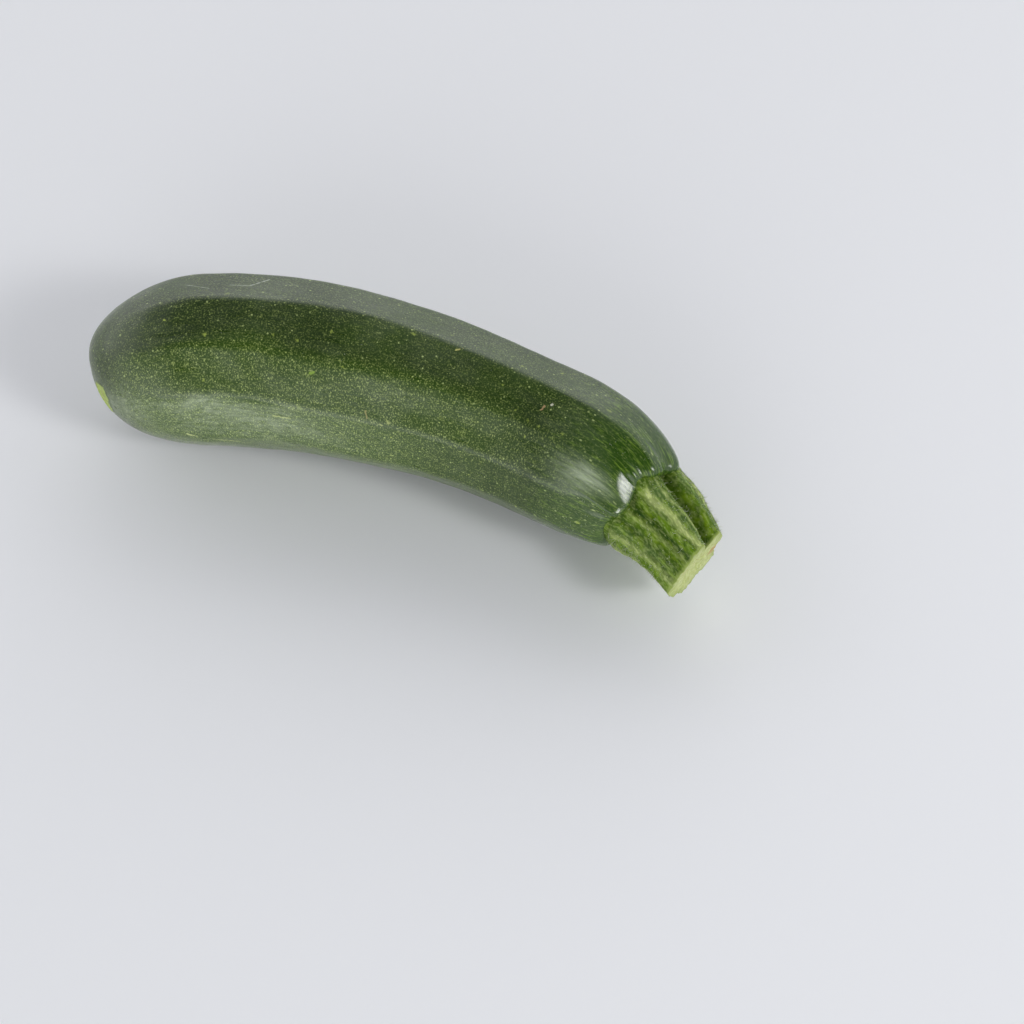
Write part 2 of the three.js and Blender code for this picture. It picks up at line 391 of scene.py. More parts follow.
def straightened(way, angle, radius):
    """The place on a straight round bar: way, radius cos angle, radius sin angle, in metres."""
    place = [way + 0 * angle, radius * np.cos(angle), radius * np.sin(angle)]
    return np.stack(place, -1) * 0.001


def skin_map(distance, angle):
    """The fruit laid straight: the way is its profile's arc, drawn out near the stem.

    The ring's radius is rounded at the blossom end and stays the body's over the shoulder.
    """
    line = np.linspace(0, FRUIT_LENGTH, 4001)
    body = bezier(FRUIT_RADII, line / FRUIT_LENGTH)
    shoulder = rounding(FRUIT_LENGTH - line, SHOULDER_LENGTH, SHOULDER_POWER)
    necked = SEAT_RADIUS + (body - SEAT_RADIUS) * shoulder
    drawn = 1 + DRAWN_OUT * smooth(1 - (FRUIT_LENGTH - line) / DRAWN_LENGTH)
    way = np.concatenate([[0], np.cumsum(np.hypot(np.diff(line), np.diff(necked)) / drawn[1:])])
    ring = SCAR_RADIUS + (body - SCAR_RADIUS) * rounding(line, BLOSSOM_LENGTH, BLOSSOM_POWER)
    return straightened(np.interp(distance, line, way), angle, np.interp(distance, line, ring))


# ---------- Stem: five ribs with grooves between, cut off a little askew

seat, outward = fruit_axis(np.array(FRUIT_LENGTH))
stem_foot = seat + STEM_GAP * outward
stem_line = Line([stem_foot, STEM_BEND, STEM_TIP])
STEM_LENGTH = stem_line.length
STEM_ROOT = -1.6

heading, tilt = math.radians(CUT_HEADING), math.radians(CUT_TILT)
cut_normal = np.array([
    math.cos(tilt) * math.cos(heading), math.cos(tilt) * math.sin(heading), math.sin(tilt),
])
cut_middle = stem_line.point(np.array(STEM_LENGTH))

# Grooves as the solid's, the one between the two front ribs narrower and deeper: angle, depth and
# half width.
STEM_GROOVES = [
    [62, 3.9, 10], [118, 1.9, 13], [146, 0.9, 11], [228, 2.3, 16], [283, 2.6, 17], [345, 2.8, 17],
]
# Knuckles and hollows of the ribs: distance, angle, height, half length and half width.
KNUCKLES = [
    [5, 200, 1.4, 4.5, 20], [24, 198, -1.5, 11, 18], [8, 20, 1.0, 5, 14], [2.5, 168, 0.7, 2.5, 12],
    [3.5, 92, 0.7, 3, 10], [24, 18, -0.6, 8, 14],
]
# The ribs stand this much lower than the solid's, to leave room for ridges, fibres and pits.
RIB_LESS, FIBRES, PITS = 0.25, 0.05, 0.06
# Ribs spread where they stand on the fruit: the spread and how soon it is gone.
RIB_SPREAD, SPREAD_LENGTH = 0.5, 2.5
# Grooves and ridges wander by so many degrees, and the ridges swell and sink by a share.
STEM_WANDER, RIDGE_SWELL = 1.8, 0.5
# Lengthwise ridges on the ribs and in the broad grooves: angle, height and half width.
RIDGES = [
    [99, 0.45, 4], [111, 0.25, 3], [121, 0.45, 3.5], [131, 0.30, 3], [141, 0.40, 3.5],
    [153, 0.30, 3], [79, 0.20, 3], [28, 0.25, 3], [42, 0.35, 3], [8, 0.30, 4], [172, 0.35, 4],
    [186, 0.25, 3], [214, 0.35, 4], [236, 0.25, 3], [252, 0.30, 3], [292, 0.35, 4],
    [322, 0.30, 3], [338, 0.25, 3],
]
# Edges of the ribs that are thick with bristles: angle, share and half width.
BRISTLED = [[27, 1.7, 8], [78, 0.5, 4], [176, 0.5, 9], [250, 0.5, 9], [318, 0.5, 9]]
# Lines of colour on the stem: angle at its foot, strength and half width. They set in over the
# first mm, turn with the stem by so many degrees a mm, and wander by so many degrees.
LOOK_START, LOOK_TWIST, LOOK_WANDER = 4, 0.65, 2.2
PALE_STREAKS = [
    [103, 1.0, 4.6], [87, 0.6, 1.6], [134, 0.35, 3], [171, 0.5, 5], [36, 0.6, 3], [200, 0.4, 8],
    [262, 0.6, 8], [326, 0.6, 8],
]
# The grey flanks are painted sheen: a greyish reflection on the ribs' sloping flanks.
SHEEN_FLANKS = [[93, 1.0, 5.5], [46, 0.8, 6], [160, 0.6, 6], [306, 0.6, 10], [240, 0.5, 8]]
LIME_BANDS = [
    [116, 1.1, 6], [62, 0.6, 10], [138, 0.7, 7], [180, 0.6, 8], [225, 0.7, 12], [285, 0.8, 12],
]
DARK_LINES = [
    [126, 1.2, 3.2], [110.5, 1.0, 1.3], [149, 0.8, 5], [80, 1.0, 3.5], [188, 0.6, 4], [272, 0.8, 5],
]
# Depth at which a groove has its full colour, and the radius on which the stem's look is laid.
GROOVE_FULL, MAP_RADIUS = 2.6, 12.0
# One corner of the cut has dried brown: angle, strength and half width, then the share of the way
# out where it starts and the share over which it grows. Over its last share the stem's skin is
# painted paler, a painted highlight along the cut's edge.
DRY_CORNER = [[350, 1.6, 9]]
DRY_FROM, DRY_OVER, LIT_RIM = 0.55, 0.25, 0.07
# The cut: height of its torn fibres, of its ring of bundles, its depth in the middle, and how far
# its edge is torn.
TORN, BUNDLES, DISH, TORN_EDGE = 0.09, 0.35, 0.9, 0.10
# Shares of the way out: the bundles' ring and its half width, the dish's edge and the width of its
# slope, and the width of the flat rim. The middle of the cut is sunk so many mm.
BUNDLE_RING, BUNDLE_WIDTH, DISH_EDGE, DISH_SLOPE, CUT_RIM = 0.72, 0.09, 0.62, 0.5, 0.06
BUNDLE_COUNT, BUNDLE_TURN, CUT_SUNK = 5, 30, 0.2


def stem_radius(distance, angle):
    """Rib radius less the grooves, plus the ribs' spread, small ridges, fibres and pits."""
    crest = STEM_FOOT + (STEM_END - STEM_FOOT) * np.clip(distance, 0, None) / STEM_LENGTH
    drift = math.radians(STEM_WANDER) * ripple(distance, angle, 31, 5, (12, 36), (1, 5))
    grooves = furrows(STEM_GROOVES, angle + drift)
    spread = RIB_SPREAD * np.exp(-distance / SPREAD_LENGTH) * np.clip(1 - grooves / 2, 0, 1)
    swell = 1 + RIDGE_SWELL * ripple(distance, angle, 32, 6, (5, 16), (2, 7))
    ridges = swell * furrows(RIDGES, angle + drift) + patches(KNUCKLES, distance, angle)
    fibres = FIBRES * ripple(distance, angle, 33, 18, (8, 40), (24, 60))
    pits = PITS * ripple(distance, angle, 34, 18, (1.8, 6), (6, 34))
    return crest - RIB_LESS - grooves + spread + ridges + fibres + pits


def stem_point(distance, angle):
    """A point of the stem's side at a distance along it."""
    radius = stem_radius(distance, angle)
    return rings(stem_line.point(distance), stem_line.tangent(distance), angle, radius)


def stem_reach(angle):
    """Distance at which each lengthwise line meets the cut, found by stepping it onto the plane."""
    reach = np.full(angle.shape, STEM_LENGTH)
    for _ in range(8):
        short = (cut_middle - stem_point(reach, angle)) @ cut_normal
        reach = reach + short / (stem_line.tangent(reach) @ cut_normal)
    return reach + TORN_EDGE * (ripple(0 * angle, angle, 36, 9, (1, 2), (6, 44)) - 1)


def stem_side(share, angle):
    """Lines of the stem's radius from inside the seat (share 0) to the cut (share 1)."""
    distance = STEM_ROOT + share * (stem_reach(angle) - STEM_ROOT)
    return stem_point(distance, angle), distance


def cut_face(share, angle):
    """The cut's rim shrunk to its middle, lightly dished and torn into short fibres."""
    rim, _ = stem_side(np.ones_like(angle), angle)
    middle = cut_middle - CUT_SUNK * cut_normal
    flat = middle + share[..., None] * (rim - middle)
    local = (flat - middle) @ np.stack(frame_of(cut_normal), -1)
    torn = TORN * lumps(local[..., 0], local[..., 1], 41, (1.1, 3.5))
    ring = np.exp(-(((share - BUNDLE_RING) / BUNDLE_WIDTH) ** 2))
    bundles = BUNDLES * ring * np.cos(BUNDLE_COUNT * (angle - math.radians(BUNDLE_TURN)))
    dish = DISH * smooth((DISH_EDGE - share) / DISH_SLOPE)
    rise = (torn + bundles - dish) * smooth((1 - share) / CUT_RIM)
    return flat + rise[..., None] * cut_normal, local


def frame_of(normal):
    """Two unit directions square to a normal: level, and level x normal."""
    level = np.array([-normal[1], normal[0], 0.0])
    level /= np.linalg.norm(level)
    return level, np.cross(normal, level)


# ---------- Meshes


def placed(name, data):
    """A new object that shows some data, linked to the scene."""
    made = bpy.data.objects.new(name, data)
    bpy.context.scene.collection.objects.link(made)
    return made


def mesh_object(name, points, faces, materials=None):
    """An object of points (n, 3) in mm and rows of corners, with -1 for a triangle's fourth."""
    mesh = bpy.data.meshes.new(name)
    corners = faces[faces >= 0]
    starts = np.concatenate([[0], np.cumsum(np.sum(faces >= 0, axis=1))[:-1]])
    mesh.vertices.add(len(points))
    mesh.vertices.foreach_set("co", np.asarray(points * 0.001, np.float32).ravel())
    mesh.loops.add(len(corners))
    mesh.loops.foreach_set("vertex_index", corners.astype(np.int32))
    mesh.polygons.add(len(faces))
    mesh.polygons.foreach_set("loop_start", starts.astype(np.int32))
    mesh.polygons.foreach_set("use_smooth", np.ones(len(faces), bool))
    if materials is not None:
        mesh.polygons.foreach_set("material_index", materials.astype(np.int32))
    mesh.update(calc_edges=True)
    return placed(name, mesh)


def tube_faces(rows, around):
    """Quads between neighbouring rings, closed round the tube and facing out."""
    a = np.arange(rows - 1)[:, None] * around + np.arange(around)
    b = np.arange(rows - 1)[:, None] * around + (np.arange(around) + 1) % around
    return np.stack([a, b, b + around, a + around], -1).reshape(-1, 4)


def cap_faces(ring, around, centre, at_start):
    """Triangles from a ring of corners to one middle corner."""
    a = ring + np.arange(around)
    b = ring + (np.arange(around) + 1) % around
    middle, none = np.full(around, centre), np.full(around, -1)
    return np.stack([middle, b, a, none] if at_start else [middle, a, b, none], -1)


def tube_object(name, grid, start, end, attributes, split=None):
    """A closed surface over rings, with a middle point at each end and named vertex attributes.

    Each attribute is its values over the rings and those of the two middle points. From the ring
    split on, the faces have the second material.
    """
    rows, around = grid.shape[:2]
    points = np.concatenate([grid.reshape(-1, 3), start[None], end[None]])
    faces = np.concatenate([
        tube_faces(rows, around),
        cap_faces(0, around, rows * around, True),
        cap_faces((rows - 1) * around, around, rows * around + 1, False),
    ])
    materials = np.zeros(len(faces), int)
    if split is not None:
        materials[split * around:(rows - 1) * around] = 1
        materials[-around:] = 1
    made = mesh_object(name, points, faces, materials)
    for key, (values, first, last) in attributes.items():
        vector = values.ndim == 3
        layer = made.data.attributes.new(key, "FLOAT_VECTOR" if vector else "FLOAT", "POINT")
        ends = [np.atleast_1d(first)[None], np.atleast_1d(last)[None]]
        flat = np.concatenate([values.reshape(rows * around, -1), *ends]).astype(np.float32)
        layer.data.foreach_set("vector" if vector else "value", flat.ravel())
    return made


def ring_grid(shares, around):
    """Each share of the way, by rows, and each angle round the tube, by columns."""
    angle = np.linspace(0, 2 * np.pi, around, endpoint=False)
    return np.broadcast_arrays(shares[:, None], angle[None, :])


def make_fruit():
    """The fruit's skin from the scar's nub to the seat of the stem."""
    around, scar_rows, body_rows, tuck_rows = 224, 22, 386, 10
    share, scar_angle = ring_grid(np.linspace(0, 1, scar_rows + 1)[1:-1], around)
    way = FRUIT_LENGTH * (1 - np.cos(np.pi * np.linspace(0, 1, body_rows))) / 2
    distance, angle = ring_grid(way, around)
    tuck, tuck_angle = ring_grid(np.linspace(0, 1, tuck_rows + 1)[1:], around)
    none, full = 0 * share, 0 * tuck
    skin = np.concatenate([
        scar_disc(share, scar_angle), fruit_skin(distance, angle), tucked_skin(tuck, tuck_angle),
    ])
    nub = scar_disc(np.zeros((1, 1)), np.zeros((1, 1)))[0, 0]
    along = np.concatenate([
        straightened(none, scar_angle, share * SCAR_RADIUS),
        skin_map(distance, angle),
        skin_map(FRUIT_LENGTH + full, tuck_angle) + np.stack([0.002 * tuck, full, full], -1),
    ])
    neck = smooth(1 - (FRUIT_LENGTH - distance) / NECK_LENGTH)
    # The paler side: partly painted light on the lower facets, with painted shade towards the stem.
    pale = lit_and_pale_side(distance, angle)
    return tube_object("courgette_fruit", skin, nub, seat + TO_ORIGIN, {
        "along": (along, 0 * along[0, 0], along[-1, 0] * [1, 0, 0]),
        "neck": (np.concatenate([none, neck, full + 1]), 0, 1),
        "pale": (np.concatenate([none + 0.5, pale, pale[-1:] + full]), 0.5, 0.5),
        # Patches of painted sheen, highlight and reflection, laid as whitish bloom.
        "sheen_and_bloom": (np.concatenate([none, sheen_and_bloom_patches(distance, angle), full]), 0, 0),
    })


def make_stem():
    """The stem's side and, with a material of its own, its cut face."""
    around, side_rows, face_rows = 240, 150, 36
    share, angle = ring_grid(np.linspace(0, 1, side_rows), around)
    side, distance = stem_side(share, angle)
    inward, face_angle = ring_grid(np.linspace(1, 0, face_rows + 1)[1:-1], around)
    face, local = cut_face(inward, face_angle)
    pith = cut_face(np.zeros((1, 1)), np.zeros((1, 1)))[0][0, 0]
    root = stem_line.point(np.array(STEM_ROOT))
    crest = 1 - furrows(STEM_GROOVES, angle) / GROOVE_FULL
    along = np.concatenate([straightened(distance, angle, MAP_RADIUS + 0 * angle),
                            np.concatenate([0 * local[..., :1], local], -1) * 0.001])
    dry = furrows(DRY_CORNER, face_angle) * smooth((inward - DRY_FROM) / DRY_OVER)
    attributes = {
        "along": (along, np.zeros(3), np.zeros(3)),
        "crest": (np.concatenate([crest, 0 * inward + 1]), 1, 1),
        "dry": (np.concatenate([0 * share, dry]), 0, 0),
        "rim": (np.concatenate([smooth(1 - (1 - share) / LIT_RIM), inward]), 0, 0),
    }
    drift = math.radians(LOOK_WANDER) * ripple(distance, angle, 37, 5, (9, 30), (0, 2))
    turned = angle + drift + math.radians(LOOK_TWIST) * distance
    lines = {"streak": PALE_STREAKS, "sheen_flank": SHEEN_FLANKS, "lime": LIME_BANDS, "line": DARK_LINES}
    for key, table in lines.items():
        strength = smooth(distance / LOOK_START) * furrows(table, turned)
        attributes[key] = (np.concatenate([strength, 0 * inward]), 0, 0)
    return tube_object("courgette_stem", np.concatenate([side, face]) + TO_ORIGIN,
                       root + TO_ORIGIN, pith + TO_ORIGIN, attributes, side_rows - 1)


# Hairs lean at random and forward, and bend by their middle; their roots are sunk so many mm.
HAIR_LEAN, HAIR_FORWARD, HAIR_BEND, HAIR_SUNK = 0.55, 0.35, 0.5, 0.08


def make_hairs(name, base, normal, way, length, width, seed):
    """Bristles: three-sided cones that lean and bend from the surface, seven corners each."""
    dice = np.random.default_rng(seed)
    count = len(base)
    lean = normal + HAIR_LEAN * dice.normal(size=(count, 3)) + HAIR_FORWARD * way
    lean /= np.linalg.norm(lean, axis=1, keepdims=True)
    bend = lean + HAIR_BEND * dice.normal(size=(count, 3))
    bend /= np.linalg.norm(bend, axis=1, keepdims=True)
    side = np.cross(lean, way)
    side /= np.linalg.norm(side, axis=1, keepdims=True)
    other = np.cross(lean, side)
    turn = np.radians([0, 120, 240])[None, :, None]
    spoke = np.cos(turn) * side[:, None] + np.sin(turn) * other[:, None]
    middle = base + 0.5 * length[:, None] * lean
    tip = middle + 0.5 * length[:, None] * bend
    points = np.concatenate([
        (base - HAIR_SUNK * normal)[:, None] + width[:, None, None] * spoke,
        middle[:, None] + 0.7 * width[:, None, None] * spoke,
        tip[:, None],
    ], axis=1)
    one = np.array([[2, 1, 0, -1], [0, 1, 4, 3], [1, 2, 5, 4], [2, 0, 3, 5],
                    [3, 4, 6, -1], [4, 5, 6, -1], [5, 3, 6, -1]])
    faces = np.where(one[None] < 0, -1, one[None] + 7 * np.arange(count)[:, None, None])
    return mesh_object(name, points.reshape(-1, 3), faces.reshape(-1, 4))


def with_normals(surface, distance, angle):
    """Points of a surface with their outward normals and lengthwise directions, by small steps."""
    step, radius = 0.05, 12
    here = surface(distance, angle)
    ahead = surface(distance + step, angle) - here
    around = surface(distance, angle + step / radius) - here
    normal = np.cross(around, ahead)
    normal /= np.linalg.norm(normal, axis=-1, keepdims=True)
    return here, normal, ahead / np.linalg.norm(ahead, axis=-1, keepdims=True)


# Bristles tried, and the shares kept anywhere, on the ribs' crests and on bristled edges.
BRISTLES, KEPT_ANYWHERE, KEPT_CREST, KEPT_EDGE = 5200, 0.04, 0.2, 0.8


def make_stem_hairs():
    """Short stiff bristles, most of them on the ribs."""
    dice = np.random.default_rng(51)
    angle = dice.uniform(0, 2 * np.pi, BRISTLES)
    distance = dice.uniform(1.0, STEM_LENGTH - 1.0, BRISTLES)
    crest = np.clip(1 - furrows(STEM_GROOVES, angle) / 2.2, 0, 1)
    reach = stem_reach(angle)
    share = KEPT_ANYWHERE + KEPT_CREST * crest**4 + KEPT_EDGE * furrows(BRISTLED, angle)
    kept = (dice.uniform(0, 1, BRISTLES) < share) & (distance < reach - 0.3)
    angle, distance = angle[kept], distance[kept]
    base, normal, way = with_normals(stem_point, distance, angle)
    length = 0.35 + 1.5 * dice.uniform(0, 1, len(base)) ** 3
    width = 0.04 + 0.03 * dice.uniform(0, 1, len(base))
    return make_hairs("stem_bristles", base + TO_ORIGIN, normal, way, length, width, 52)


def make_skin_hairs():
    """Sparse fine hairs, 150 within 12 mm of the seat and 110 along the fruit's upper side."""
    dice = np.random.default_rng(61)
    to_seat = np.concatenate([dice.uniform(1.5, 12, 150), dice.uniform(12, 150, 110)])
    angle = dice.uniform(-0.3, np.pi + 0.3, len(to_seat))
    distance = FRUIT_LENGTH - to_seat
    base, normal, way = with_normals(fruit_skin, distance, angle)
    length = dice.uniform(0.25, 0.8, len(base))
    width = np.full(len(base), 0.03)
    return make_hairs("skin_hairs", base, normal, way, length, width, 62)


# ---------- Materials


def linear(code):
    """The linear colour, with alpha, of an sRGB hex code."""
    levels = [int(code[k:k + 2], 16) / 255 for k in (1, 3, 5)]
    return *(v / 12.92 if v <= 0.04045 else ((v + 0.055) / 1.055) ** 2.4 for v in levels), 1.0


def fill(tree, node, inputs):
    """Links or sets a node's inputs, by name or number."""
    for key, value in inputs.items():
        if isinstance(value, bpy.types.NodeSocket):
            tree.links.new(value, node.inputs[key])
        else:
            node.inputs[key].default_value = value


def add(tree, kind, inputs=None, out=0, **settings):
    """Adds a node with its settings and inputs and gives one of its outputs."""
    made = tree.nodes.new("ShaderNode" + kind)
    for key, value in settings.items():
        setattr(made, key, value)
    fill(tree, made, inputs or {})
    return made.outputs[out]


def new_material(name):
    """A new material, its nodes and its one Principled shader."""
    material = bpy.data.materials.new(name)
    material.use_nodes = True
    tree = material.node_tree
    return material, tree, tree.nodes["Principled BSDF"]


def per_mm(size):
    """Texture scale, in cells a metre, for a feature of a size in millimetres."""
    return 1000.0 / size


# Marks on the skin: start, end, half width and colour.
MARKS = [
    [[-58.0, -2.3, 42.2], [-57.2, -2.0, 42.4], 0.45, "#82a036"],
    [[6.5, 12.5, 41.6], [6.8, 12.8, 41.6], 0.30, "#c5c6b0"],
    [[4.4, 10.2, 41.4], [4.9, 11.5, 41.6], 0.24, "#a08660"],
    [[-23.6, 18.2, 43.7], [-22.0, 19.6, 43.4], 0.22, "#b3b168"],
    [[-5.6, 24.3, 40.4], [-4.4, 24.3, 40.4], 0.26, "#b9b06c"],
    [[-101.6, 11.4, 43.0], [-94.4, 11.6, 45.0], 0.15, "#8c9680"],
    [[-89.7, 15.3, 44.1], [-84.5, 17.0, 44.0], 0.15, "#98a18c"],
    [[-84.5, 17.0, 44.0], [-81.2, 22.4, 41.7], 0.17, "#a3ab9a"],
    [[-88.2, -21.8, 22.5], [-75.1, -16.9, 18.8], 0.26, "#b3bd78"],
    [[-65.3, -12.5, 31.4], [-60.6, -11.5, 31.3], 0.20, "#a9b46a"],
    [[-58.6, -9.8, 35.8], [-57.7, -9.9, 35.4], 0.30, "#74873a"],
    [[-41.0, -4.6, 36.3], [-40.0, -5.9, 35.0], 0.20, "#918c55"],
    [[-34.8, -4.6, 35.4], [-33.9, -5.2, 34.8], 0.24, "#98a45c"],
    [[-36.2, -6.0, 34.3], [-35.7, -6.1, 34.1], 0.22, "#98a45c"],
]


def near_line(tree, place, start, end):
    """Distance from the line a to b, |p - a - (b - a) clamp((p - a).(b - a) / |b - a|^2)|."""
    start, end = (Vector(0.001 * (np.array(point) + TO_ORIGIN)) for point in (start, end))
    way = end - start
    off = add(tree, "VectorMath", {0: place, 1: start}, operation="SUBTRACT")
    toward = {0: off, 1: way / way.length_squared}
    reach = add(tree, "VectorMath", toward, out="Value", operation="DOT_PRODUCT")
    reach = add(tree, "Clamp", {0: reach})
    along = add(tree, "VectorMath", {0: way, "Scale": reach}, operation="SCALE")
    return add(tree, "VectorMath", {0: off, 1: along}, out="Value", operation="DISTANCE")


def layered(tree, base, layers):
    """Colours laid over a base one after another, each by a share times a strength."""
    colour = linear(base)
    for share, strength, over in layers:
        share = add(tree, "Math", {0: share, 1: strength}, operation="MULTIPLY")
        over = linear(over) if isinstance(over, str) else over
        colour = add(tree, "Mix", {0: share, 6: colour, 7: over}, out=2, data_type="RGBA")
    return colour


def dots(tree, place, spacing, small, large):
    """Round dots in cells of a spacing in mm, small to large in radius, each with a strength."""
    away = add(tree, "TexVoronoi", {"Vector": place, "Scale": per_mm(spacing)}, out="Distance")
    chance = add(tree, "SeparateColor", {0: away.node.outputs["Color"]})
    size = add(tree, "MapRange", {0: chance, 3: small / spacing, 4: large / spacing})
    inner = add(tree, "Math", {0: size, 1: 0.45}, operation="MULTIPLY")
    dot = add(tree, "MapRange", {0: away, 1: size, 2: inner})
    return add(tree, "Math", {0: chance.node.outputs[1], 1: dot}, operation="MULTIPLY")


def streaks(tree, along, width, stretch, low, high, detail=2.0):
    """Streaks of a width in mm and so many times as long: noise cut between two levels."""
    drawn = add(tree, "VectorMath", {0: along, 1: (1 / stretch, 1, 1)}, operation="MULTIPLY")
    noise = add(tree, "TexNoise", {"Vector": drawn, "Scale": per_mm(width), "Detail": detail})
    return add(tree, "MapRange", {0: noise, 1: low, 2: high})


def courgette_rind():
    """Waxy plant skin: dark olive green with a fine grain, pale pores and scuffed, satin wax."""
    material, tree, shader = new_material("courgette_rind")
    place = add(tree, "TexCoord", out="Object")
    along = add(tree, "Attribute", out="Vector", attribute_name="along")
    neck, pale, hazy = [add(tree, "Attribute", out="Fac", attribute_name=key)
                        for key in ("neck", "pale", "sheen_and_bloom")]

    # Broad mottling, 14 mm across and longer lengthwise, the paler side, partly painted light and
    # painted shade, and a purer and lighter green towards the stem.
    mottle = streaks(tree, along, 14, 1.8, 0.36, 0.64, 3.0)
    layers = [(mottle, 1, "#253d02"), (pale, 1, "#2e4a03"), (neck, 0.75, "#2b4d02")]

    # Grain: pale cells 0.3 mm across, packed 0.6 mm apart, clearer on the pale side and in lines.
    grain = dots(tree, along, 0.62, 0.08, 0.27)
    cells = streaks(tree, along, 0.42, 1, 0.50, 0.82, 1.0)
    grain = add(tree, "Math", {0: cells, 1: 0.8, 2: grain}, operation="MULTIPLY_ADD")
    lines = streaks(tree, along, 1.3, 9, 0.35, 0.65)
    share = add(tree, "MapRange", {0: pale, 3: 0.31, 4: 0.85})
    share = add(tree, "Math", {0: lines, 1: 0.22, 2: share}, operation="MULTIPLY_ADD")
    share = add(tree, "Math", {0: neck, 1: -0.22, 2: share}, operation="MULTIPLY_ADD")
    layers.append((grain, share, "#b6c774"))

    # Streaks 0.6 mm wide and some 2 mm long, which show on the shoulder.
    streak = streaks(tree, along, 0.62, 3.6, 0.52, 0.74)
    share = add(tree, "MapRange", {0: neck, 3: 0.06, 4: 0.62})
    layers.append((streak, share, "#83a336"))

    # Pale pores, and a few yellow-green flecks with ragged edges.
    pore = dots(tree, along, 1.7, 0.16, 0.38)
    ragged = {"Vector": place, "Scale": per_mm(1.0), "Detail": 1.0}
    ragged = add(tree, "TexNoise", ragged, out="Color")
    shaken = {0: ragged, 1: (0.0012, 0.0012, 0.0012), 2: along}
    shaken = add(tree, "VectorMath", shaken, operation="MULTIPLY_ADD")
    fleck = dots(tree, shaken, 5.0, 0.1, 0.8)
    layers += [(pore, 1, "#afbf78"), (fleck, 1, "#9fb04e")]

    # Marks with edges broken by noise, 0.8 mm across.
    broken = add(tree, "TexNoise", {"Vector": place, "Scale": per_mm(0.8), "Detail": 1.0})
    for start, end, width, colour in MARKS:
        off = near_line(tree, place, start, end)
        fray = {0: broken, 1: 0.0028 * width, 2: off}
        off = add(tree, "Math", fray, operation="MULTIPLY_ADD")
        mark = add(tree, "MapRange", {0: off, 1: 0.0027 * width, 2: 0.0020 * width})
        layers.append((mark, 1, colour))

    # Bloom: the wax is scuffed whitish in fine lengthwise wisps, 0.9 mm wide, faint all over and
    # strong in the patches of painted sheen, highlight and reflection.
    wisp = streaks(tree, along, 0.9, 4, 0.10, 0.80, 4.0)
    where = add(tree, "TexNoise", {"Vector": along, "Scale": per_mm(22), "Detail": 2.0})
    where = add(tree, "MapRange", {0: where, 1: 0.50, 2: 0.70, 3: 0.015, 4: 0.09})
    where = add(tree, "Math", {0: hazy, 1: 0.34, 2: where}, operation="MULTIPLY_ADD")
    layers.append((wisp, where, "#cbd6bb"))

    # The blossom scar: pale yellow-green skin with a bumpy edge round a corky middle, which starts
    # 2.6 mm further in and is full at 4.0 mm.
    off = near_line(tree, place, *SCAR_LINE)
    bumpy = add(tree, "TexNoise", {"Vector": place, "Scale": per_mm(2.5), "Detail": 1.0})
    off = add(tree, "Math", {0: bumpy, 1: 0.0022, 2: off}, operation="MULTIPLY_ADD")
    edge = 0.001 * SCAR_REACH + 0.0011
    scar = add(tree, "MapRange", {0: off, 1: edge, 2: edge - 0.0005})
    cork = add(tree, "MapRange", {0: off, 1: edge - 0.0026, 2: edge - 0.0040})
    uneven = streaks(tree, place, 0.9, 1, 0.35, 0.65, 3.0)
    layers += [(scar, 1, layered(tree, "#97a952", [(uneven, 1, "#a9ba68")])),
               (cork, 0.7, layered(tree, "#7d7145", [(uneven, 1, "#a6986a")]))]
    green = layered(tree, "#1a2f02", layers)

    # The wax is uneven in lengthwise scuffs, smoother on the shoulder and dull on the scar.
    scuff = streaks(tree, along, 2.2, 6, 0.35, 0.65, 4.0)
    wax = add(tree, "MapRange", {0: scuff, 3: 0.27, 4: 0.38})
    wax = add(tree, "Math", {0: neck, 1: -0.15, 2: wax}, operation="MULTIPLY_ADD")
    wax = add(tree, "Mix", {0: scar, 2: wax, 3: 0.6}, data_type="FLOAT")

    # Orange-peel relief of the skin, 1 mm across, with the pores and the lengthwise scuffs.
    peel = add(tree, "TexNoise", {"Vector": along, "Scale": per_mm(1.1), "Detail": 2.0})
    relief = add(tree, "Math", {0: pore, 1: 0.4, 2: peel}, operation="MULTIPLY_ADD")
    relief = add(tree, "Math", {0: scuff, 1: 0.5, 2: relief}, operation="MULTIPLY_ADD")
    bump = add(tree, "Bump", {"Strength": 0.4, "Distance": 0.0001, "Height": relief})
    # Fine down and bloom whiten the skin where it is seen at a slant.
    fill(tree, shader, {
        "Base Color": green, "Roughness": wax, "IOR": 1.48, "Normal": bump,
        "Sheen Weight": 0.27, "Sheen Roughness": 0.22, "Sheen Tint": linear("#e8ece2"),
    })
    return material


